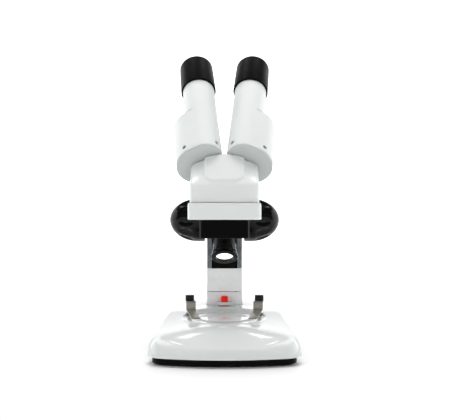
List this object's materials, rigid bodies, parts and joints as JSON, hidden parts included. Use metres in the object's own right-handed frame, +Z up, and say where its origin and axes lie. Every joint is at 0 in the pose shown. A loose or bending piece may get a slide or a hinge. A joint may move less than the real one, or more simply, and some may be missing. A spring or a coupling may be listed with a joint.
{
  "type": "stereo microscope",
  "caption": "Toy stereo microscope: rack-focused head on a pillar, turning eyepiece drums, tilting lamp, stage with spring clips on a wide battery base.",
  "frame": {"origin": "on the table, under the centre of the bounding box", "axes": "+Z up, +Y from the stage to the pillar, +X to the right seen from the stage side"},
  "size_m": [0.1108, 0.1668, 0.2465],
  "materials": {
    "white": "glossy moulded white",
    "light_grey": "satin light grey",
    "plate_grey": "satin grey",
    "black": "glossy black",
    "rubber": "matt black",
    "red": "glossy red",
    "steel": "brushed",
    "glass": "clear, polished",
    "chrome": "mirror bright",
    "cell_wrap": "printed film on steel, plain",
    "led": "clear dome"
  },
  "bodies": {
    "stand": {"base_shell": "white", "base_plate": "black", "foot_front_left": "rubber", "foot_front_right": "rubber", "foot_rear_left": "rubber", "foot_rear_right": "rubber", "battery_door": "black", "battery_door_screw": "steel", "battery_box": "black", "battery_front": "cell_wrap", "battery_rear": "cell_wrap", "battery_contact_left": "steel", "battery_contact_right": "steel", "base_screw_front_left": "steel", "base_screw_front_right": "steel", "base_screw_rear_left": "steel", "base_screw_rear_right": "steel", "pillar": "white", "pillar_cap": "white", "pillar_cover": "light_grey", "pillar_bolt": "steel", "switch_panel": "light_grey", "switch_bezel": "white", "switch_body": "black"},
    "switch": {"switch_button": "red"},
    "stage": {"stage_disc": "white"},
    "left_clip": {"clip_blade_left": "steel", "clip_post_left": "black"},
    "right_clip": {"clip_blade_right": "steel", "clip_post_right": "black"},
    "focus_drive": {"pinion_shaft": "steel", "focus_knob_left": "black", "focus_knob_right": "black"},
    "head": {"carriage": "black", "head_frame": "white", "head_shell": "white", "objective_housing": "black", "objective_lens_left": "glass", "objective_lens_right": "glass", "lamp_bracket": "black", "lamp_pin": "steel", "lamp_lead": "rubber", "carriage_bolt": "steel"},
    "lamp": {"lamp_housing": "black", "lamp_reflector": "chrome", "lamp_led": "led"},
    "left_drum": {"drum_shell_left": "white", "drum_plate_left": "plate_grey", "prism_left": "glass", "drum_screw_left_inner": "steel", "drum_screw_left_outer": "steel"},
    "left_eyepiece": {"eyepiece_left": "rubber", "eye_lens_left": "glass"},
    "right_drum": {"drum_shell_right": "white", "drum_plate_right": "plate_grey", "prism_right": "glass", "drum_screw_right_inner": "steel", "drum_screw_right_outer": "steel"},
    "right_eyepiece": {"eyepiece_right": "rubber", "eye_lens_right": "glass"}
  },
  "joints": [
    {"name": "head_slide", "type": "slide", "parent": "stand", "child": "head", "axis": [0, 0, 1], "range_m": [-0.015, 0.02]},
    {"name": "focus_knob_turn", "type": "hinge", "parent": "stand", "child": "focus_drive", "pos_m": [0, 0.04965, 0.1015], "axis": [1, 0, 0], "range_deg": [-192, 144]},
    {"name": "left_drum_turn", "type": "hinge", "parent": "head", "child": "left_drum", "pos_m": [-0.012, -0.00265, 0.1392], "axis": [-0.0854, 0.7045, 0.7045], "range_deg": [-38, 0]},
    {"name": "right_drum_turn", "type": "hinge", "parent": "head", "child": "right_drum", "pos_m": [0.012, -0.00265, 0.1392], "axis": [0.0854, 0.7045, 0.7045], "range_deg": [0, 38]},
    {"name": "left_eyepiece_pull", "type": "slide", "parent": "left_drum", "child": "left_eyepiece", "axis": [-0.0854, 0.7045, 0.7045], "range_m": [0, 0.016]},
    {"name": "right_eyepiece_pull", "type": "slide", "parent": "right_drum", "child": "right_eyepiece", "axis": [0.0854, 0.7045, 0.7045], "range_m": [0, 0.016]},
    {"name": "lamp_tilt", "type": "hinge", "parent": "head", "child": "lamp", "pos_m": [0, 0.02615, 0.0965], "axis": [1, 0, 0], "range_deg": [-10, 20]},
    {"name": "left_clip_swivel", "type": "hinge", "parent": "stand", "child": "left_clip", "pos_m": [-0.0276, -0.00635, 0.03], "axis": [0, 0, 1], "range_deg": [-75, 0]},
    {"name": "right_clip_swivel", "type": "hinge", "parent": "stand", "child": "right_clip", "pos_m": [0.0276, -0.00635, 0.03], "axis": [0, 0, 1], "range_deg": [0, 75]},
    {"name": "switch_press", "type": "slide", "parent": "stand", "child": "switch", "axis": [0, 0, -1], "range_m": [0, 0.002], "stiffness_N_per_m": 250},
    {"name": "stage_disc_lift", "type": "slide", "parent": "stand", "child": "stage", "axis": [0, 0, 1], "range_m": [0, 0.012]}
  ],
  "couplings": [
    {"joint": "focus_knob_turn", "follows": "head_slide", "rad_per_m": -166.67}
  ]
}
